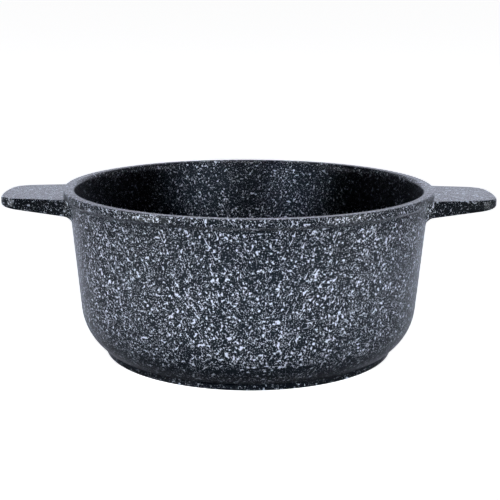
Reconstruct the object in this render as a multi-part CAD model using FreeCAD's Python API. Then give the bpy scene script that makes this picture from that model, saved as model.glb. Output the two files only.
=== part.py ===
import FreeCAD, Part
import math
import os

# Cast aluminium pot. The whole pot is one casting: a round body whose wall leans outwards,
# a thick band round the rim, a turned foot, and a flat wing handle on each side.
# Millimetres, +Z up, origin at the centre of the underside, handles along X.

# Body
total_height = 113.5
rim_inner_diameter = 240.0
wall_thickness = 4.4
wall_lean_deg = 5.0
base_thickness = 6.3
inner_corner_radius = 28.0
outer_corner_radius = 36.5
outer_corner_height = 34.5

# Rim: a flat top, a chamfer down into the pot, and a band that stands proud of the wall
rim_chamfer = 1.3
band_overhang = 3.25
band_height = 4.9
band_slope_height = 2.6

# Foot: a short turned step, as wide as the rounded corner is where it meets it
foot_height = 4.1

# Handles: flat on top, with an underside that rises towards a bowed tip
handle_drop = 5.5
handle_reach = 42.3
handle_root_width = 67.8
handle_side_taper_deg = 9.0
handle_tip_bow_radius = 110.0
handle_corner_radius = 15.0
handle_root_thickness = 10.9
handle_tip_thickness = 6.3
handle_top_edge_chamfer = 1.1
handle_low_edge_chamfer = 1.6
handle_blend_radius = 5.0
handle_weld_width = 1.2

# The most of the tip's thickness that its upper and lower edge may take between them
tip_share_for_edges = 0.9

# Cutting tools run this far past what they cut, and points this close count as touching
clear = 10.0
tolerance = 0.002

lean = math.radians(wall_lean_deg)
side_taper = math.radians(handle_side_taper_deg)
origin = FreeCAD.Vector(0, 0, 0)
up = FreeCAD.Vector(0, 0, 1)

# Radii and heights that follow from the sizes, worked outwards from the bore
bore_radius = rim_inner_diameter / 2 - rim_chamfer
bore_top = total_height - rim_chamfer
band_bottom = total_height - band_height
handle_top = total_height - handle_drop


def inner_wall_radius(z):
    return bore_radius - (bore_top - z) * math.tan(lean)


def outer_wall_radius(z):
    return inner_wall_radius(z) + wall_thickness / math.cos(lean)


# The corner's arc is tangent to the wall, and the foot starts where it crosses the foot's height
corner_centre = outer_wall_radius(outer_corner_height) - outer_corner_radius / math.cos(lean)
corner_end_radius = corner_centre + outer_corner_radius * math.cos(lean)
corner_end_height = outer_corner_height - outer_corner_radius * math.sin(lean)
foot_rise = outer_corner_height - foot_height
foot_radius = corner_centre + math.sqrt(outer_corner_radius ** 2 - foot_rise ** 2)

band_radius = outer_wall_radius(band_bottom) + band_overhang
core_radius = band_radius / 2
tip_x = band_radius + handle_reach
underside_rise = (handle_root_thickness - handle_tip_thickness) / handle_reach

# The edges of the handles give way where the tip is too thin for both
both_edges = handle_top_edge_chamfer + handle_low_edge_chamfer
edge_share = min(1.0, tip_share_for_edges * handle_tip_thickness / both_edges)
top_edge_chamfer = handle_top_edge_chamfer * edge_share
low_edge_chamfer = handle_low_edge_chamfer * edge_share


def handle_underside(x):
    return handle_top - handle_root_thickness + (x - band_radius) * underside_rise


def section_line(start, end):
    """A line of a turned section, given as (radius, height) points."""
    return Part.LineSegment(FreeCAD.Vector(0, *start), FreeCAD.Vector(0, *end)).toShape()


def section_arc(start, end, centre):
    """The short arc of a turned section from start to end about centre."""
    chord_middle = ((start[0] + end[0]) / 2, (start[1] + end[1]) / 2)
    stretch = math.dist(start, centre) / math.dist(chord_middle, centre)
    middle_radius = centre[0] + (chord_middle[0] - centre[0]) * stretch
    middle_height = centre[1] + (chord_middle[1] - centre[1]) * stretch
    middle = FreeCAD.Vector(0, middle_radius, middle_height)
    return Part.Arc(FreeCAD.Vector(0, *start), middle, FreeCAD.Vector(0, *end)).toShape()


def corner_fillet(before, corner, after, radius):
    """Start, end and centre of the fillet in a corner of a section."""
    into_before = FreeCAD.Vector(before[0] - corner[0], before[1] - corner[1], 0).normalize()
    into_after = FreeCAD.Vector(after[0] - corner[0], after[1] - corner[1], 0).normalize()
    half_angle = into_before.getAngle(into_after) / 2
    bisector = (into_before + into_after).normalize()
    place = FreeCAD.Vector(corner[0], corner[1], 0)
    start = place + into_before * (radius / math.tan(half_angle))
    end = place + into_after * (radius / math.tan(half_angle))
    centre = place + bisector * (radius / math.sin(half_angle))
    return (start.x, start.y), (end.x, end.y), (centre.x, centre.y)


def revolve_section(edges):
    face = Part.Face(Part.Wire(Part.__sortEdges__(edges)))
    return face.revolve(origin, up, 360)


def turned(*corners):
    """A turned solid from the corners of its section: (radius, height, fillet radius)."""
    edges = []
    ends = []
    for index, (radius, height, fillet) in enumerate(corners):
        start = end = (radius, height)
        if fillet > 0:
            before = corners[index - 1][:2]
            after = corners[(index + 1) % len(corners)][:2]
            start, end, centre = corner_fillet(before, start, after, fillet)
            edges.append(section_arc(start, end, centre))
        ends.append((start, end))
    for index, (start, end) in enumerate(ends):
        following = ends[(index + 1) % len(ends)][0]
        edges.append(section_line(end, following))
    return revolve_section(edges)


def body_outside():
    """The body without its band, solid inside, its wall carried up to the rim's height."""
    foot_edge = (foot_radius, 0)
    foot_top = (foot_radius, foot_height)
    wall_end = (corner_end_radius, corner_end_height)
    wall_top = (outer_wall_radius(total_height), total_height)
    return revolve_section([
        section_line((0, 0), foot_edge),
        section_line(foot_edge, foot_top),
        section_arc(foot_top, wall_end, (corner_centre, outer_corner_height)),
        section_line(wall_end, wall_top),
        section_line(wall_top, (0, total_height)),
        section_line((0, total_height), (0, 0)),
    ])


def rim_band():
    """The band and its sloping underside, solid inside."""
    slope_bottom = band_bottom - band_slope_height
    return turned(
        (0, total_height, 0),
        (band_radius, total_height, 0),
        (band_radius, band_bottom, 0),
        (outer_wall_radius(slope_bottom), slope_bottom, 0),
        (0, slope_bottom, 0),
    )


def cavity():
    """The space inside the pot, with the rim's chamfer, carried on past the rim."""
    over_rim = rim_chamfer + clear
    return turned(
        (0, base_thickness, 0),
        (inner_wall_radius(base_thickness), base_thickness, inner_corner_radius),
        (bore_radius, bore_top, 0),
        (bore_radius + over_rim, bore_top + over_rim, 0),
        (0, bore_top + over_rim, 0),
    )


def handle_plan():
    """Plan of the +X handle: straight tapering sides, rounded corners and a bowed tip."""
    along_side = FreeCAD.Vector(math.cos(side_taper), -math.sin(side_taper), 0)
    inwards = FreeCAD.Vector(-math.sin(side_taper), -math.cos(side_taper), 0)
    root = FreeCAD.Vector(band_radius, handle_root_width / 2, 0)
    bow_centre = FreeCAD.Vector(tip_x - handle_tip_bow_radius, 0, 0)
    # The corner's centre is one corner radius inside both the side and the bow
    from_bow = root + inwards * handle_corner_radius - bow_centre
    half_b = from_bow.dot(along_side)
    rest = from_bow.dot(from_bow) - (handle_tip_bow_radius - handle_corner_radius) ** 2
    travel = math.sqrt(half_b ** 2 - rest) - half_b
    corner_centre = root + inwards * handle_corner_radius + along_side * travel
    bow_outwards = (corner_centre - bow_centre).normalize()
    core = root - along_side * ((band_radius - core_radius) / along_side.x)
    side_end = corner_centre - inwards * handle_corner_radius
    corner_middle = corner_centre + (bow_outwards - inwards).normalize() * handle_corner_radius
    bow_start = bow_centre + bow_outwards * handle_tip_bow_radius
    tip = FreeCAD.Vector(tip_x, 0, 0)

    def across(point):
        return FreeCAD.Vector(point.x, -point.y, 0)

    return Part.Face(Part.Wire([
        Part.LineSegment(core, side_end).toShape(),
        Part.Arc(side_end, corner_middle, bow_start).toShape(),
        Part.Arc(bow_start, tip, across(bow_start)).toShape(),
        Part.Arc(across(bow_start), across(corner_middle), across(side_end)).toShape(),
        Part.LineSegment(across(side_end), across(core)).toShape(),
        Part.LineSegment(across(core), core).toShape(),
    ]))


def edges_where(shape, is_there):
    """The edges of a shape whose every point passes a test."""
    return [edge for edge in shape.Edges if all(is_there(point) for point in edge.discretize(7))]


def handle_blank():
    """The +X handle up to the rim's height, with its lower edges chamfered."""
    inner_x = core_radius - clear
    outer_x = tip_x + clear
    far_y = handle_root_width
    corners = [
        FreeCAD.Vector(inner_x, -far_y, handle_underside(inner_x)),
        FreeCAD.Vector(outer_x, -far_y, handle_underside(outer_x)),
        FreeCAD.Vector(outer_x, -far_y, total_height),
        FreeCAD.Vector(inner_x, -far_y, total_height),
    ]
    side_view = Part.Face(Part.makePolygon(corners + corners[:1]))
    slab = side_view.extrude(FreeCAD.Vector(0, 2 * far_y, 0))
    blank = handle_plan().extrude(up * total_height).common(slab).Solids[0]
    low_edges = edges_where(blank, lambda point: abs(point.z - handle_underside(point.x)) < tolerance)
    return blank.makeChamfer(
        low_edge_chamfer, [edge for edge in low_edges if edge.BoundBox.XMax > core_radius + clear])


def handle_weld():
    """The sloping strip that runs along the band on top of the +X handle."""
    weld_reach = band_radius + handle_weld_width
    weld_low = handle_top - handle_weld_width
    ring = turned(
        (core_radius, handle_top + handle_weld_width, 0),
        (band_radius, handle_top + handle_weld_width, 0),
        (weld_reach, handle_top, 0),
        (weld_reach, weld_low, 0),
        (core_radius, weld_low, 0),
    )
    length = handle_root_width - 2 * top_edge_chamfer
    strip = Part.makeBox(weld_reach, length, total_height, FreeCAD.Vector(core_radius, -length / 2, 0))
    return ring.common(strip).Solids[0]


def on_wall(point):
    """Whether a point is on the outer wall, out where the handles are."""
    off_wall = math.hypot(point.x, point.y) - outer_wall_radius(point.z)
    return abs(off_wall) < tolerance and abs(point.x) > core_radius


def mirrored(shape):
    return shape.mirror(origin, FreeCAD.Vector(1, 0, 0))


def pot():
    handle = handle_blank()
    casting = body_outside().fuse([handle, mirrored(handle)]).removeSplitter().Solids[0]
    casting = casting.makeFillet(handle_blend_radius, edges_where(casting, on_wall))

    # Everything above the handles' flat tops comes off, and the edge all round it is chamfered
    span = 2 * (tip_x + clear)
    above = Part.makeBox(span, span, total_height, FreeCAD.Vector(-span / 2, -span / 2, handle_top))
    casting = casting.cut(above).Solids[0]
    top_edges = edges_where(casting, lambda point: abs(point.z - handle_top) < tolerance)
    casting = casting.makeChamfer(top_edge_chamfer, top_edges)

    weld = handle_weld()
    casting = casting.fuse([rim_band(), weld, mirrored(weld)])
    casting = casting.cut(cavity()).removeSplitter()
    return casting.Solids[0]


os.makedirs("parts", exist_ok=True)
pot().exportStep("parts/pot.step")
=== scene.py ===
import math

import bpy
import numpy as np
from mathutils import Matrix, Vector


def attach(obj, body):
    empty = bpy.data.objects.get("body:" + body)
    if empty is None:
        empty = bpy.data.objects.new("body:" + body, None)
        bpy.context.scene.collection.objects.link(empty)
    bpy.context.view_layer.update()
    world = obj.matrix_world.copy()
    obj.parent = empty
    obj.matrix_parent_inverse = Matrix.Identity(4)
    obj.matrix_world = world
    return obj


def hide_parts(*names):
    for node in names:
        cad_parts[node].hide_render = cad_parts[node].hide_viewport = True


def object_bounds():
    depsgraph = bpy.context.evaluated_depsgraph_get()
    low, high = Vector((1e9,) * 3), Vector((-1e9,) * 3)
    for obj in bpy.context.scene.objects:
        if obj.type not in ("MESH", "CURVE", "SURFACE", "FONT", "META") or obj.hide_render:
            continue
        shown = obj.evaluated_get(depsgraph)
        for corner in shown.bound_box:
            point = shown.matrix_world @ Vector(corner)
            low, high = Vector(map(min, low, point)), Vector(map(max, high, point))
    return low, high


# Cast aluminium pot in a dark blue-black coating with pale grey speckles.
# Metres, +Z up, origin at the centre of the underside, handles along X.

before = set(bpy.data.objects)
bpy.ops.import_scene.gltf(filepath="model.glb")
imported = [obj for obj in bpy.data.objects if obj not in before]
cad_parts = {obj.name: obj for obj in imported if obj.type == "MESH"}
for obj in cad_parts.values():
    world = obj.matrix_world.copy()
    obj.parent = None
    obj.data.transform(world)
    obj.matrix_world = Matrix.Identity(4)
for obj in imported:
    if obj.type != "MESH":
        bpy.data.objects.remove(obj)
cad_low, cad_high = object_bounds()

# Overall sizes, from the bounds of the model in model.glb
total_height = cad_high.z
band_radius = cad_high.y
tip_x = cad_high.x

# Body
rim_inner_radius = 0.120
wall_thickness = 0.0044
lean = math.radians(5.0)
base_thickness = 0.0063
inner_corner_radius = 0.028
outer_corner_radius = 0.0365
outer_corner_height = 0.0345
foot_height = 0.0041

# Rim band. The CAD's chamfer sets where the bore lies; here the bore's edge is rounded.
rim_chamfer = 0.0013
band_height = 0.0049
band_bottom = total_height - band_height
band_slope_height = 0.0026
bore_radius = rim_inner_radius - rim_chamfer
bore_top = total_height - rim_chamfer

# Soft edges left by casting, blasting and coating
rim_edge_round = 0.0010
band_edge_round = 0.0009
band_cove_round = 0.0022
rim_inner_round = 0.0026
foot_edge_round = 0.0008
foot_crease_round = 0.0007

# Rings that the lathe leaves in the underside, each with a flat floor and sloping sides
ring_count = 6
first_ring_radius = 0.016
ring_pitch = 0.0135
ring_width = 0.0026
ring_floor_half_width = ring_width / 5
ring_depth = 0.0004

# Handles
handle_drop = 0.0055
handle_top = total_height - handle_drop
handle_root_half_width = 0.0339
side_taper = math.radians(9.0)
tip_bow_radius = 0.110
plan_corner_radius = 0.015
handle_root_thickness = 0.0109
handle_tip_thickness = 0.0063
top_edge_round = 0.0013
low_edge_round = 0.0021
root_blend = 0.0050

# Fillet between a handle's flat top and the band, which shrinks to a share of itself at its ends
weld_round = 0.0013
weld_fade_power = 8
weld_end_share = 0.08

# Coating, in colours on the 0 to 255 screen scale
base_colour = (10, 16, 23)
mark_colour = (230, 236, 250)
base_roughness = 0.28
mark_roughness = 0.5
coating_ior = 1.5
coating_specular = 0.30

# Pale marks: noise shows from the first level and covers fully from the second. It is lifted and
# lowered in patches, about its middle.
crackle_scale = 1900.0
crackle_levels = (0.70, 0.713)
fleck_scale = 580.0
fleck_levels = (0.69, 0.702)
fleck_strength = 0.78
patch_scale = 170.0
patch_depth = 0.14
noise_middle = 0.5

# Streaks of thicker spray, which run down the wall and towards its middle
streak_lean = math.radians(27.0)
streak_width = 0.0007
streak_length = 0.0040
streak_levels = (0.75, 0.78)
streak_strength = 0.8

# Relief of the coating: an orange peel, and the marks standing proud
peel_scale = 420.0
peel_share = 0.6
mark_share = 0.4
relief_strength = 0.5
relief_height = 0.0003

# How much the noise of the marks drops: on the foot as painted shade, and on the handle sides and
# inside where the marks are sparser; and where that begins and is full
# Painted shade: the foot gets fewer pale marks so that it looks darker, as if shaded by the corner
# above it
foot_painted_shade = 0.045
foot_painted_shade_start = foot_height * 1.6
side_shelter = 0.035
side_shelter_inner = band_radius + 0.001
side_shelter_outer = band_radius + 0.004
side_shelter_start = handle_top - 0.0008
side_shelter_full = handle_top - 0.0016
inside_shelter = 0.03

# Floor, which curves up into a wall far away on every side
floor_middle_radius = 0.01
floor_radius = 3.0
floor_curve_radius = 1.5
floor_wall_height = 3.0
floor_gap = 0.0002
floor_grey = 0.9
floor_glow = 0.96

# Surround: brightness in front, at the sides, what the back adds, and shares above and below
surround_colour = (0.80, 0.84, 1.0, 1)
front_level = 0.01
side_level = 0.25
back_level = 1.08
above_share = 0.11
below_share = 0.35

# Softboxes
light_colour = (0.88, 0.93, 1.0)

# Camera, as fitted to the photograph
camera_distance = 0.7398
camera_height = 0.2339
camera_pitch = math.radians(12.69)
camera_roll = math.radians(0.254)
camera_lens = 78.3
camera_sensor_width = 36.0
camera_shift = 0.0027
camera_clip_start = 0.05
camera_clip_end = 30.0

# Mesh fineness: arcs above large_arc are divided by angle, smaller ones into fixed steps
turns = 300
arc_step = math.radians(4.0)
large_arc = 0.01
small_arc_steps = 6
line_step = 0.006
same_place = 1e-7
top_round_points = 7
low_round_points = 8
side_points = 7
run_points = 7
under_points = 33
blend_points = 11
plan_corner_points = 13
half_bow_points = 9
root_arc_points = 27
weld_length_points = 41
weld_round_points = 7
floor_rings = 12
floor_curve_rings = 16
floor_turns = 96


def inner_wall_radius(z):
    return bore_radius - (bore_top - z) * math.tan(lean)


def outer_wall_radius(z):
    return inner_wall_radius(z) + wall_thickness / math.cos(lean)


class Section:
    """A turned section as rings: radius, height and the outward normal at each.

    It is drawn from the centre of the underside outwards, up the wall, over the rim
    and down inside, so that outwards is always on the right.
    """

    def __init__(self, radius, height):
        self.here = Vector((radius, height))
        self.rings = []

    def ring(self, point, normal):
        self.rings.append((point.x, point.y, normal.x, normal.y))
        self.here = point.copy()

    def line_to(self, radius, height):
        start = self.here.copy()
        end = Vector((radius, height))
        run = end - start
        normal = Vector((run.y, -run.x)).normalized()
        steps = max(1, math.ceil(run.length / line_step))
        for step in range(steps + 1):
            self.ring(start + run * (step / steps), normal)

    def arc(self, centre, radius, start_angle, end_angle, hollow=False, steps=None):
        steps = steps or max(2, math.ceil(abs(end_angle - start_angle) / arc_step))
        for step in range(steps + 1):
            angle = start_angle + (end_angle - start_angle) * step / steps
            spoke = Vector((math.cos(angle), math.sin(angle)))
            self.ring(centre + spoke * radius, -spoke if hollow else spoke)

    def round_to(self, corner, after, radius):
        """A line towards a corner, then the fillet that turns towards the next corner."""
        corner = Vector(corner)
        incoming = (corner - self.here).normalized()
        outgoing = (Vector(after) - corner).normalized()
        turn = incoming.angle_signed(outgoing) * -1
        reach = radius * math.tan(abs(turn) / 2)
        start = corner - incoming * reach
        side = Vector((-incoming.y, incoming.x)) * math.copysign(1, turn)
        centre = start + side * radius
        start_angle = math.atan2(-side.y, -side.x)
        self.line_to(start.x, start.y)
        steps = small_arc_steps
        if radius > large_arc:
            steps = max(small_arc_steps, math.ceil(abs(turn) / arc_step))
        self.arc(centre, radius, start_angle, start_angle + turn, turn < 0, steps)


def cut_rings(section):
    """The underside out to its last turned ring."""
    for index in range(ring_count):
        ring_middle = first_ring_radius + index * ring_pitch
        section.line_to(ring_middle - ring_width / 2, 0)
        section.line_to(ring_middle - ring_floor_half_width, ring_depth)
        section.line_to(ring_middle + ring_floor_half_width, ring_depth)
        section.line_to(ring_middle + ring_width / 2, 0)


def foot_and_corner(section):
    """The foot, the crease above it and the rounded corner up to the wall."""
    corner_centre = Vector((
        outer_wall_radius(outer_corner_height) - outer_corner_radius / math.cos(lean),
        outer_corner_height,
    ))
    foot_rise = outer_corner_height - foot_height
    foot_radius = corner_centre.x + math.sqrt(outer_corner_radius ** 2 - foot_rise ** 2)
    crease_x = foot_radius + foot_crease_round
    crease_reach = outer_corner_radius + foot_crease_round
    crease_drop = math.sqrt(crease_reach ** 2 - (crease_x - corner_centre.x) ** 2)
    crease_centre = Vector((crease_x, corner_centre.y - crease_drop))
    to_crease = crease_centre - corner_centre
    crease_angle = math.atan2(to_crease.y, to_crease.x)
    section.round_to((foot_radius, 0), (foot_radius, foot_height), foot_edge_round)
    section.line_to(foot_radius, crease_centre.y)
    section.arc(crease_centre, foot_crease_round, math.pi, crease_angle + math.pi,
                hollow=True, steps=small_arc_steps)
    section.arc(corner_centre, outer_corner_radius, crease_angle, -lean)


def body_section():
    """Rings of the body: underside, foot, corner, wall, band, rim and inside."""
    slope_bottom = band_bottom - band_slope_height
    slope_foot = (outer_wall_radius(slope_bottom), slope_bottom)
    band_low = (band_radius, band_bottom)
    band_top = (band_radius, total_height)
    lip = (inner_wall_radius(total_height), total_height)
    inner_corner = (inner_wall_radius(base_thickness), base_thickness)

    section = Section(0, 0)
    cut_rings(section)
    foot_and_corner(section)
    section.round_to(slope_foot, band_low, band_cove_round)
    section.round_to(band_low, band_top, band_edge_round)
    section.round_to(band_top, lip, rim_edge_round)
    section.round_to(lip, (inner_wall_radius(0), 0), rim_inner_round)
    section.round_to(inner_corner, (0, base_thickness), inner_corner_radius)
    section.line_to(0, base_thickness)
    return section.rings


def without_repeats(rings):
    """The rings with each repeat of a place taken out, its normals averaged."""
    kept = []
    for ring in rings:
        if kept and math.dist(kept[-1][:2], ring[:2]) < same_place:
            normal = Vector((kept[-1][2] + ring[2], kept[-1][3] + ring[3])).normalized()
            kept[-1] = (*kept[-1][:2], normal.x, normal.y)
        else:
            kept.append(ring)
    return kept


class Shell:
    """Points, their normals and faces, gathered into one mesh."""

    def __init__(self):
        self.points = []
        self.normals = []
        self.faces = []
        self.count = 0

    def add(self, points, normals):
        start = self.count
        self.points.append(np.asarray(points, float).reshape(-1, 3))
        self.normals.append(np.asarray(normals, float).reshape(-1, 3))
        self.count += len(self.points[-1])
        return start

    def sheet(self, points, normals, flip=False):
        """A grid of rows by columns."""
        rows, columns = points.shape[:2]
        start = self.add(points, normals)
        for row in range(rows - 1):
            for column in range(columns - 1):
                a = start + row * columns + column
                face = [a, a + 1, a + 1 + columns, a + columns]
                self.faces.append(face[::-1] if flip else face)

    def mesh(self, name):
        mesh = bpy.data.meshes.new(name)
        mesh.from_pydata(np.concatenate(self.points).tolist(), [], self.faces)
        mesh.shade_smooth()
        normals = np.concatenate(self.normals)
        normals /= np.linalg.norm(normals, axis=1)[:, None]
        mesh.normals_split_custom_set_from_vertices(normals.tolist())
        return mesh


def add_body(shell):
    """Turns the body's section about the Z axis."""
    rings = without_repeats(body_section())
    angles = np.arange(turns) * 2 * math.pi / turns
    across, along = np.cos(angles), np.sin(angles)
    first, last = rings[0], rings[-1]
    middle = rings[1:-1]
    points = [np.stack([r * across, r * along, np.full(turns, z)], 1) for r, z, _, _ in middle]
    normals = [np.stack([n * across, n * along, np.full(turns, m)], 1) for _, _, n, m in middle]
    start = shell.add(points, normals)
    for row in range(len(middle) - 1):
        for turn in range(turns):
            a = start + row * turns + turn
            b = start + row * turns + (turn + 1) % turns
            shell.faces.append([a, b, b + turns, a + turns])
    bottom = shell.add([[0, 0, first[1]]], [[0, 0, -1]])
    top = shell.add([[0, 0, last[1]]], [[0, 0, 1]])
    last_row = start + (len(middle) - 1) * turns
    for turn in range(turns):
        following = (turn + 1) % turns
        shell.faces.append([bottom, start + following, start + turn])
        shell.faces.append([top, last_row + turn, last_row + following])


# The +X handle's plan: straight tapering sides, rounded corners and a bowed tip
bow_centre = Vector((tip_x - tip_bow_radius, 0))
side_normal = Vector((math.sin(side_taper), math.cos(side_taper)))
side_along = Vector((math.cos(side_taper), -math.sin(side_taper)))
side_root = Vector((band_radius, handle_root_half_width))
underside_rise = (handle_root_thickness - handle_tip_thickness) / (tip_x - band_radius)


def plan_corner():
    """Centre of the plan's rounded corner on the +Y side."""
    from_bow = side_root - side_normal * plan_corner_radius - bow_centre
    half_b = from_bow.dot(side_along)
    rest = from_bow.dot(from_bow) - (tip_bow_radius - plan_corner_radius) ** 2
    return from_bow + bow_centre + side_along * (math.sqrt(half_b ** 2 - rest) - half_b)


plan_corner_centre = plan_corner()
corner_from_bow = plan_corner_centre - bow_centre
bow_angle = math.atan2(corner_from_bow.y, corner_from_bow.x)


def underside(x):
    return handle_top - handle_root_thickness + (x - band_radius) * underside_rise


def plan_distance(x, y):
    """Distance outside the handle's plan outline."""
    y = abs(y)
    side = (x - side_root.x) * side_normal.x + (y - side_root.y) * side_normal.y
    bow = np.hypot(x - bow_centre.x, y) - tip_bow_radius
    spoke_x, spoke_y = x - plan_corner_centre.x, y - plan_corner_centre.y
    angle = np.arctan2(spoke_y, spoke_x)
    corner = np.hypot(spoke_x, spoke_y) - plan_corner_radius
    in_corner = (angle > bow_angle) & (angle < math.pi / 2 - side_taper)
    return np.where(in_corner, corner, np.maximum(side, bow))


def rounded_within(a, b, radius):
    """Distance outside the space that two surfaces both bound, with their edge rounded."""
    u, v = a + radius, b + radius
    return np.minimum(np.maximum(u, v), 0) + np.hypot(np.maximum(u, 0), np.maximum(v, 0)) - radius


def blended_with(a, b, radius):
    """Distance outside two forms joined with a fillet."""
    u, v = np.maximum(radius - a, 0), np.maximum(radius - b, 0)
    return np.maximum(radius, np.minimum(a, b)) - np.hypot(u, v)


def wall_distance(x, y, z):
    return (np.hypot(x, y) - outer_wall_radius(z)) * math.cos(lean)


def handle_distance(points):
    """Distance outside the handle and the wall that it grows from, below the flat top."""
    x, y, z = points.T
    below = (underside(x) - z) / math.hypot(1, underside_rise)
    blank = rounded_within(plan_distance(x, y), below, low_edge_round)
    joined = blended_with(wall_distance(x, y, z), blank, root_blend)
    return rounded_within(joined, z - handle_top, top_edge_round)


def outward(points):
    """The direction in which the distance outside the handle grows."""
    step = 1e-6
    flat = points.reshape(-1, 3)
    slopes = []
    for axis in np.eye(3) * step:
        slopes.append(handle_distance(flat + axis) - handle_distance(flat - axis))
    normals = np.stack(slopes, 1)
    return (normals / np.linalg.norm(normals, axis=1)[:, None]).reshape(points.shape)


top_arc_angles = np.linspace(math.pi / 2, 0, top_round_points)
low_arc_angles = np.linspace(0, math.pi / 2, low_round_points)
side_shares = np.linspace(0, 1, side_points)
under_shares = np.linspace(1, -1, under_points)
blend_angles = np.linspace(math.pi / 2, 0, blend_points)


def edge_profile():
    """Rows round the handle's edge, top to underside: (offset outwards, height share, drop).

    A row's height is the share of the way from the side's top to its foot, less the drop.
    """
    rows = []
    for angle in top_arc_angles:
        rows.append((top_edge_round * (math.cos(angle) - 1), 0, -top_edge_round * math.sin(angle)))
    for share in side_shares[1:]:
        rows.append((0, share, 0))
    for angle in low_arc_angles[1:]:
        rows.append((low_edge_round * (math.cos(angle) - 1), 1, low_edge_round * math.sin(angle)))
    return rows


def row_height(x, share, drop):
    side_top = handle_top - top_edge_round
    side_foot = underside(x) + low_edge_round
    return side_top + (side_foot - side_top) * share - drop


def side_reach(x, offset):
    """How far from the middle a side lies at x, with an offset outwards."""
    across = offset + side_root.y * side_normal.y - (x - side_root.x) * side_normal.x
    return across / side_normal.y


def off_wall(row_at, wall_gap, rounds=12):
    """The point of a row that lies a given gap off the wall: row_at gives its y and z at x."""
    x = band_radius
    for _ in range(rounds):
        y, z = row_at(x)
        x = math.sqrt((outer_wall_radius(z) + wall_gap / math.cos(lean)) ** 2 - y ** 2)
    return (x, *row_at(x))


def blend_column(offset, row_at):
    """A row's points over the fillet at the root, from the wall out to the handle."""
    reach = root_blend - offset
    column = []
    for angle in blend_angles:
        gap = root_blend - reach * math.sin(angle)
        spread = root_blend - reach * math.cos(angle)
        column.append(off_wall(lambda x: row_at(x, spread), gap))
    return column


def side_blend(offset, share, drop):
    """The root fillet along one row of the +Y side."""
    on_low_edge = drop > 0
    arc_angle = math.acos(1 + offset / low_edge_round) if on_low_edge else 0

    def at(x, spread):
        if on_low_edge:
            y = side_reach(x, -low_edge_round) + (low_edge_round + spread) * math.cos(arc_angle)
            z = underside(x) + low_edge_round - (low_edge_round + spread) * math.sin(arc_angle)
            return y, z
        return side_reach(x, spread), row_height(x, share, drop)

    return blend_column(0 if on_low_edge else offset, at)


def under_blend(share):
    """The root fillet along one row of the underside."""
    def at(x, spread):
        return share * side_reach(x, -low_edge_round), underside(x) - spread

    return blend_column(0, at)


def outline():
    """Points and outward normals along the tip's plan, from the +Y corner to the -Y one."""
    side_angle = math.pi / 2 - side_taper
    stations = []
    for angle in np.linspace(side_angle, bow_angle, plan_corner_points):
        spoke = Vector((math.cos(angle), math.sin(angle)))
        stations.append((plan_corner_centre + spoke * plan_corner_radius, spoke))
    for angle in np.linspace(bow_angle, 0, half_bow_points)[1:]:
        spoke = Vector((math.cos(angle), math.sin(angle)))
        stations.append((bow_centre + spoke * tip_bow_radius, spoke))
    across = [(Vector((p.x, -p.y)), Vector((n.x, -n.y))) for p, n in stations[-2::-1]]
    return stations + across


def edge_sheet():
    """Rows of points all round the +X handle's edge, from one root fillet to the other."""
    rows = edge_profile()
    blend = np.array([side_blend(*row) for row in rows])
    stations = outline()
    rim = []
    for offset, share, drop in rows:
        row = []
        for place, normal in stations:
            point = place + normal * offset
            row.append((point.x, point.y, row_height(point.x, share, drop)))
        rim.append(row)
    rim = np.array(rim)
    shares = np.linspace(0, 1, run_points)[1:-1, None]
    run = np.array([start + (end - start) * shares for start, end in zip(blend[:, -1], rim[:, 0])])
    mirror = np.array([1, -1, 1])
    return np.concatenate(
        [blend, run, rim, (run * mirror)[:, ::-1], (blend * mirror)[:, ::-1]], axis=1)


def flat_top_outline(edge):
    """The flat top's outline: the edge's first row, closed by an arc hidden in the wall."""
    hidden_radius = math.hypot(edge[0, 0, 0], edge[0, 0, 1])
    end_angle = math.atan2(edge[0, 0, 1], edge[0, 0, 0])
    root_arc = []
    for angle in np.linspace(-end_angle, end_angle, root_arc_points)[1:-1]:
        x, y = hidden_radius * math.cos(angle), hidden_radius * math.sin(angle)
        root_arc.append((x, y, handle_top))
    return np.concatenate([edge[0], np.array(root_arc)])


def flat_under_outline(edge, under):
    """The flat underside's outline: the edge's last row, closed along the root fillet."""
    first_flat = blend_points - 1
    under_edge = edge[-1, first_flat:edge.shape[1] - first_flat]
    return np.concatenate([under_edge, under[::-1, -1][1:-1]])


def add_handle(shell, side):
    """One handle, on the +X side for side 1 and on the -X side for side -1."""
    flip = side < 0
    turn = np.array([side, 1, 1])
    edge = edge_sheet()
    under = np.array([under_blend(share) for share in under_shares])
    shell.sheet(edge * turn, outward(edge) * turn, flip)
    shell.sheet(under * turn, outward(under) * turn, flip)
    under_normal = np.array([underside_rise, 0, -1]) / math.hypot(1, underside_rise)
    flats = (
        (flat_top_outline(edge), np.array([0, 0, 1]), not flip),
        (flat_under_outline(edge, under), under_normal, flip),
    )
    for loop, normal, backwards in flats:
        start = shell.add(loop * turn, np.tile(normal * turn, (len(loop), 1)))
        face = list(range(start, start + len(loop)))
        shell.faces.append(face[::-1] if backwards else face)


def add_weld(shell, side):
    """The small fillet between a handle's flat top and the band."""
    end_angle = math.asin((handle_root_half_width - top_edge_round) / band_radius)
    points, normals = [], []
    for angle in np.linspace(-end_angle, end_angle, weld_length_points):
        fade = math.sqrt(max(0.0, 1 - (angle / end_angle) ** weld_fade_power))
        radius = weld_round * max(weld_end_share, fade)
        row, tilt = [], []
        for turn in np.linspace(0, math.pi / 2, weld_round_points):
            out = band_radius + radius * (1 - math.sin(turn))
            height = handle_top + radius * (1 - math.cos(turn))
            row.append((side * out * math.cos(angle), out * math.sin(angle), height))
            tilt.append((side * math.sin(turn) * math.cos(angle),
                         math.sin(turn) * math.sin(angle), math.cos(turn)))
        points.append(row)
        normals.append(tilt)
    shell.sheet(np.array(points), np.array(normals), flip=side > 0)


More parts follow.
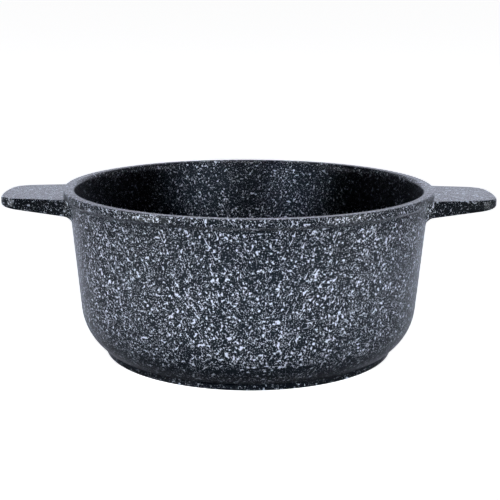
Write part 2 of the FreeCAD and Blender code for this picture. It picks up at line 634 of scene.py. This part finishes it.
def make_pot():
    shell = Shell()
    add_body(shell)
    for side in (1, -1):
        add_handle(shell, side)
        add_weld(shell, side)
    pot = bpy.data.objects.new("pot_casting", shell.mesh("pot_casting"))
    bpy.context.scene.collection.objects.link(pot)
    return pot


class Nodes:
    """Adds and links the nodes of one material or world."""

    def __init__(self, tree):
        self.tree = tree
        tree.nodes.clear()

    def add(self, kind, inputs=None, **settings):
        node = self.tree.nodes.new(kind)
        for name, value in settings.items():
            setattr(node, name, value)
        for name, value in (inputs or {}).items():
            socket = node.inputs[name]
            if isinstance(value, bpy.types.NodeSocket):
                self.tree.links.new(value, socket)
            else:
                socket.default_value = value
        return node

    def math(self, operation, a, b=0.0):
        return self.add("ShaderNodeMath", {0: a, 1: b}, operation=operation).outputs[0]

    def ramp(self, value, low, high, start=0.0, end=1.0):
        """From start at low to end at high, smooth in between and level beyond."""
        node = self.add("ShaderNodeMapRange", {
            "Value": value, "From Min": low, "From Max": high, "To Min": start, "To Max": end},
            interpolation_type="SMOOTHSTEP")
        return node.outputs["Result"]

    def noise(self, place, scale, detail=0.0, distortion=0.0):
        node = self.add("ShaderNodeTexNoise", {
            "Vector": place, "Scale": scale, "Detail": detail, "Distortion": distortion})
        return node.outputs["Fac"]


def srgb(red, green, blue):
    """A colour on the 0 to 255 screen scale as linear light."""
    def linear(value):
        value /= 255
        return value / 12.92 if value <= 0.04045 else ((value + 0.055) / 1.055) ** 2.4
    return (linear(red), linear(green), linear(blue), 1.0)


def sparse_marks_and_painted_shade(nodes, place):
    """How much the marks thin out: on the foot, as painted shade under the corner, and on the
    handles below their tops and inside, where they are sparser.
    """
    split = nodes.add("ShaderNodeSeparateXYZ", {"Vector": place}).outputs
    flat = nodes.add("ShaderNodeCombineXYZ", {"X": split["X"], "Y": split["Y"]}).outputs[0]
    radius = nodes.add("ShaderNodeVectorMath", {0: flat}, operation="LENGTH").outputs["Value"]
    # Painted shade: fewer pale marks on the foot, so it looks darker as if shaded by the corner
    # above
    foot = nodes.ramp(split["Z"], foot_painted_shade_start, foot_height)
    beyond_band = nodes.ramp(radius, side_shelter_inner, side_shelter_outer)
    below_top = nodes.ramp(split["Z"], side_shelter_start, side_shelter_full)
    handle_side = nodes.math("MULTIPLY", beyond_band, below_top)
    # The radius with the wall's lean taken out tells the inside from the outside
    upright = nodes.math("SUBTRACT", radius, nodes.math("MULTIPLY", split["Z"], math.tan(lean)))
    wall_middle = inner_wall_radius(0) + wall_thickness / 2
    inside = nodes.math("MULTIPLY", nodes.math("LESS_THAN", upright, wall_middle),
                        nodes.math("GREATER_THAN", split["Z"], base_thickness / 2))
    outside = nodes.math("MAXIMUM", nodes.math("MULTIPLY", foot, foot_painted_shade),
                         nodes.math("MULTIPLY", handle_side, side_shelter))
    return nodes.math("MAXIMUM", outside, nodes.math("MULTIPLY", inside, inside_shelter))


def streak_place(nodes, place):
    """Coordinates sheared along the streaks' lean and squeezed along their length."""
    split = nodes.add("ShaderNodeSeparateXYZ", {"Vector": place}).outputs
    slant = nodes.math("MULTIPLY", split["Z"], math.tan(streak_lean))
    sideways = nodes.math("SUBTRACT", nodes.math("ABSOLUTE", split["X"]), slant)
    squeezed = nodes.math("MULTIPLY", split["Z"], streak_width / streak_length)
    return nodes.add("ShaderNodeCombineXYZ", {
        "X": sideways, "Y": split["Y"], "Z": squeezed}).outputs[0]


def pale_marks(nodes, place):
    """How far pale marks cover the base: a fine crackle, sparser flecks and thin streaks."""
    patches = nodes.math("SUBTRACT", nodes.noise(place, patch_scale, detail=2.0), noise_middle)
    # The marks thin out where they are sparser, and on the foot as painted shade
    crowding = nodes.math("SUBTRACT", nodes.math("MULTIPLY", patches, patch_depth),
                          sparse_marks_and_painted_shade(nodes, place))

    def marks(noise, levels):
        return nodes.ramp(nodes.math("ADD", noise, crowding), *levels)

    crackle = marks(nodes.noise(place, crackle_scale, distortion=0.3), crackle_levels)
    flecks = marks(nodes.noise(place, fleck_scale, distortion=0.4), fleck_levels)
    streaks = marks(nodes.noise(streak_place(nodes, place), 1 / streak_width), streak_levels)
    specks = nodes.math("MAXIMUM", crackle, nodes.math("MULTIPLY", flecks, fleck_strength))
    return nodes.math("MAXIMUM", specks, nodes.math("MULTIPLY", streaks, streak_strength))


def make_coating():
    """Dark coating with pale marks and a slight orange peel."""
    material = bpy.data.materials.new("speckled_coating")
    material.use_nodes = True
    nodes = Nodes(material.node_tree)
    place = nodes.add("ShaderNodeTexCoord").outputs["Object"]
    cover = pale_marks(nodes, place)
    colour = nodes.add("ShaderNodeMix", {
        "Factor": cover, "A": srgb(*base_colour), "B": srgb(*mark_colour)}, data_type="RGBA")
    roughness = nodes.add("ShaderNodeMapRange", {
        "Value": cover, "To Min": base_roughness, "To Max": mark_roughness}).outputs["Result"]
    peel = nodes.noise(place, peel_scale, detail=2.0)
    relief = nodes.math("ADD", nodes.math("MULTIPLY", peel, peel_share),
                        nodes.math("MULTIPLY", cover, mark_share))
    bump = nodes.add("ShaderNodeBump", {
        "Height": relief, "Strength": relief_strength, "Distance": relief_height})
    shader = nodes.add("ShaderNodeBsdfPrincipled", {
        "Base Color": colour.outputs["Result"], "Roughness": roughness,
        "Normal": bump.outputs["Normal"]})
    shader.inputs["IOR"].default_value = coating_ior
    shader.inputs["Specular IOR Level"].default_value = coating_specular
    nodes.add("ShaderNodeOutputMaterial", {"Surface": shader.outputs["BSDF"]})
    return material


def floor_mesh():
    """A flat disc of rings that curves up into a wall."""
    flat_radii = np.linspace(floor_middle_radius, floor_radius, floor_rings)
    section = [(radius, 0.0) for radius in flat_radii]
    for angle in np.linspace(0, math.pi / 2, floor_curve_rings)[1:]:
        section.append((floor_radius + floor_curve_radius * math.sin(angle),
                        floor_curve_radius * (1 - math.cos(angle))))
    section.append((floor_radius + floor_curve_radius, floor_wall_height))
    points, faces = [], []
    for radius, height in section:
        for step in range(floor_turns):
            angle = 2 * math.pi * step / floor_turns
            points.append((radius * math.cos(angle), radius * math.sin(angle), height))
    for row in range(len(section) - 1):
        for step in range(floor_turns):
            a = row * floor_turns + step
            b = row * floor_turns + (step + 1) % floor_turns
            faces.append([a, a + floor_turns, b + floor_turns, b])
    faces.append(list(range(floor_turns)))
    mesh = bpy.data.meshes.new("floor")
    mesh.from_pydata(points, [], faces)
    mesh.shade_smooth()
    return mesh


def make_floor():
    """A pale, faintly glowing floor that shows to the camera alone and lies just below the pot."""
    mesh = floor_mesh()
    floor = bpy.data.objects.new("floor", mesh)
    floor.location.z = -floor_gap
    bpy.context.scene.collection.objects.link(floor)
    floor.visible_diffuse = False
    floor.visible_glossy = False
    floor.visible_shadow = False

    material = bpy.data.materials.new("pale_floor")
    material.use_nodes = True
    nodes = Nodes(material.node_tree)
    matt = nodes.add("ShaderNodeBsdfDiffuse", {"Color": (floor_grey, floor_grey, floor_grey, 1)})
    glow = nodes.add("ShaderNodeEmission", {"Color": (1, 1, 1, 1), "Strength": floor_glow})
    both = nodes.add("ShaderNodeAddShader", {0: matt.outputs[0], 1: glow.outputs[0]})
    nodes.add("ShaderNodeOutputMaterial", {"Surface": both.outputs[0]})
    mesh.materials.append(material)


def make_studio():
    """A white surround behind the pot, grey at the sides, dark in front and above, dim below."""
    world = bpy.data.worlds.new("studio")
    bpy.context.scene.world = world
    world.use_nodes = True
    nodes = Nodes(world.node_tree)
    direction = nodes.add("ShaderNodeTexCoord").outputs["Generated"]
    split = nodes.add("ShaderNodeSeparateXYZ", {"Vector": direction}).outputs
    side = nodes.ramp(split["Y"], low=-0.3, high=0.3, start=front_level, end=side_level)
    back = nodes.ramp(split["Y"], low=0.55, high=0.9, start=0.0, end=back_level)
    above = nodes.ramp(split["Z"], low=0.4, high=0.75, start=1.0, end=above_share)
    below = nodes.ramp(split["Z"], low=-0.35, high=0.0, start=below_share, end=1.0)
    level = nodes.math("ADD", side, back)
    strength = nodes.math("MULTIPLY", nodes.math("MULTIPLY", level, above), below)
    sky = nodes.add("ShaderNodeBackground", {"Color": surround_colour, "Strength": strength})
    nodes.add("ShaderNodeOutputWorld", {"Surface": sky.outputs[0]})


def toward(azimuth, elevation):
    """The direction from the pot to a light; azimuth 0 is in front and 90 on the +X side."""
    a, e = math.radians(azimuth), math.radians(elevation)
    return Vector((math.sin(a) * math.cos(e), -math.cos(a) * math.cos(e), math.sin(e)))


def add_softbox(name, azimuth, elevation, distance, width, height, grid, power, aim):
    """A soft rectangular light; the grid is the full angle that its honeycomb lets through.

    Angles are in degrees, lengths in metres and the power in watts.
    """
    data = bpy.data.lights.new(name, "AREA")
    data.shape = "RECTANGLE"
    data.size = width
    data.size_y = height
    data.spread = math.radians(grid)
    data.energy = power
    data.color = light_colour
    light = bpy.data.objects.new(name, data)
    middle = Vector((0, 0, total_height / 2))
    light.location = middle + toward(azimuth, elevation) * distance
    light.rotation_mode = "QUATERNION"
    light.rotation_quaternion = (light.location - Vector(aim)).to_track_quat("Z", "Y")
    light.visible_camera = False
    bpy.context.scene.collection.objects.link(light)


def make_lights():
    """Gridded softboxes: two beside the pot, two shining into it, two behind and over its
    handles, and one above the camera."""
    wall_height = total_height * 0.6
    strip_x, strip_y = band_radius * 0.36, -band_radius * 0.92
    inside_x, inside_height = rim_inner_radius * 0.27, total_height * 0.85
    handle_x = (band_radius + tip_x) / 2
    for name, side in (("left", -1), ("right", 1)):
        add_softbox("softbox_" + name, azimuth=side * 58, elevation=1.5, distance=1.14,
                    width=0.6, height=0.1, grid=9, power=0.245,
                    aim=(side * strip_x, strip_y, wall_height))
        add_softbox("softbox_inside_" + name, azimuth=side * 5, elevation=38, distance=1.3,
                    width=0.03, height=0.05, grid=3, power=0.010,
                    aim=(side * inside_x, rim_inner_radius, inside_height))
        add_softbox("softbox_handle_" + name, azimuth=180, elevation=60, distance=1.3,
                    width=0.08, height=0.05, grid=5, power=0.012,
                    aim=(side * handle_x, 0, handle_top))
    add_softbox("softbox_front", azimuth=0, elevation=40, distance=1.3,
                width=0.24, height=0.1, grid=8, power=0.068,
                aim=(0, -band_radius, wall_height))


def make_camera():
    """The photograph's viewpoint: in front, a little above the rim, through a long lens."""
    data = bpy.data.cameras.new("camera")
    data.sensor_width = camera_sensor_width
    data.lens = camera_lens
    data.shift_x = camera_shift
    data.clip_start = camera_clip_start
    data.clip_end = camera_clip_end
    camera = bpy.data.objects.new("camera", data)
    camera.location = (0, -camera_distance, camera_height)
    aim = Vector((0, math.cos(camera_pitch), -math.sin(camera_pitch)))
    camera.rotation_euler = aim.to_track_quat("-Z", "Y").to_euler()
    camera.rotation_euler.rotate_axis("Z", camera_roll)
    bpy.context.scene.collection.objects.link(camera)
    bpy.context.scene.camera = camera


pot = make_pot()
pot.data.materials.append(make_coating())
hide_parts("pot")
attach(pot, "root")

make_floor()
make_studio()
make_lights()
make_camera()
bpy.context.scene.view_settings.view_transform = "Standard"
